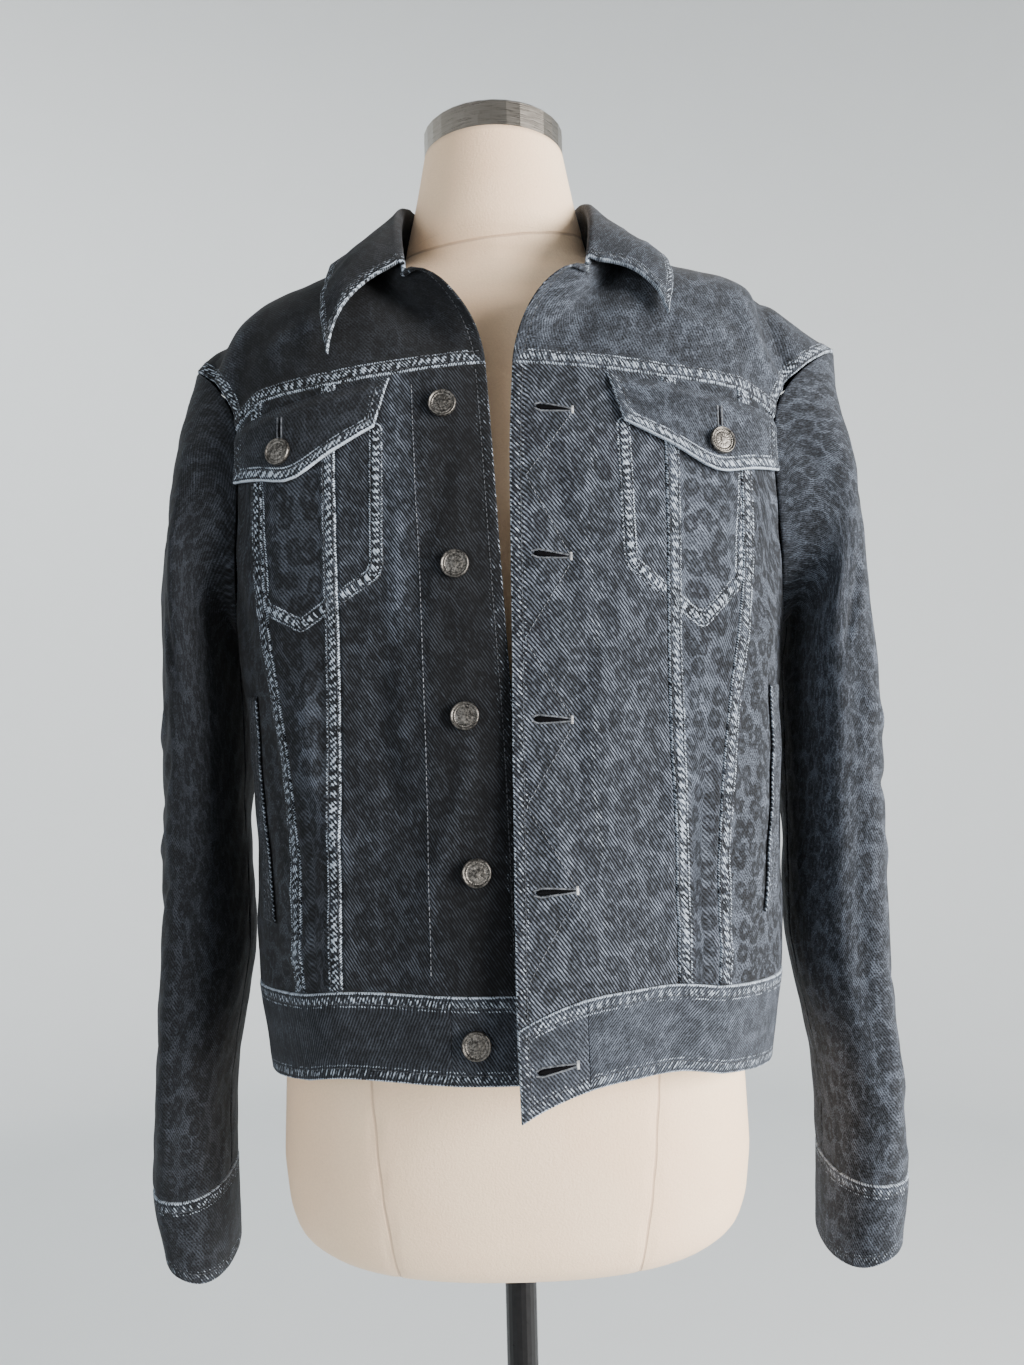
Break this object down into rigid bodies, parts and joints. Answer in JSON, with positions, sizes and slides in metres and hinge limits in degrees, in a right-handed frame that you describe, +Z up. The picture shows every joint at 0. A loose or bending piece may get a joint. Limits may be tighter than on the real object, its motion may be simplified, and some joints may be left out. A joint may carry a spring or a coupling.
{
  "type": "denim jacket on a dress form with stand",
  "caption": "Cropped washed denim jacket with spread collar, chest flaps and long sleeves, hanging slightly open on a limbless dress form with a pole and round base.",
  "frame": {"origin": "on the floor at the centre of the stand's round base, under the pole", "axes": "+X towards the jacket wearer's left, +Y towards the jacket's back, +Z up along the pole"},
  "size_m": [0.5194, 0.34, 1.545],
  "materials": {
    "denim": "washed charcoal denim twill with a tonal leopard print, worn pale on its edges",
    "button_metal": "antique silver tack button metal",
    "form_cloth": "plain cream jersey stretched over the form",
    "steel": "brushed steel neck cap",
    "black_metal": "black satin paint on steel"
  },
  "bodies": {
    "root": {"back_centre": "denim", "back_side_r": "denim", "back_side_l": "denim", "back_yoke": "denim", "front_centre_r": "denim", "front_centre_l": "denim", "front_mid_r": "denim", "front_mid_l": "denim", "front_side_r": "denim", "front_side_l": "denim", "front_yoke_r": "denim", "front_yoke_l": "denim", "waistband": "denim", "waistband_tab_r": "denim", "waistband_tab_l": "denim", "flap_r": "denim", "flap_l": "denim", "pocket_bag_r": "denim", "pocket_bag_l": "denim", "side_welt_r": "denim", "side_welt_l": "denim", "collar": "denim", "sleeve_top_r": "denim", "sleeve_top_l": "denim", "sleeve_under_r": "denim", "sleeve_under_l": "denim", "cuff_r": "denim", "cuff_l": "denim", "button_front_1": "button_metal", "button_front_2": "button_metal", "button_front_3": "button_metal", "button_front_4": "button_metal", "button_front_5": "button_metal", "button_flap_r": "button_metal", "button_flap_l": "button_metal", "button_cuff_r": "button_metal", "button_cuff_l": "button_metal", "form_torso": "form_cloth", "form_neck_cap": "steel", "stand_pole": "black_metal", "stand_base": "black_metal"}
  },
  "joints": []
}
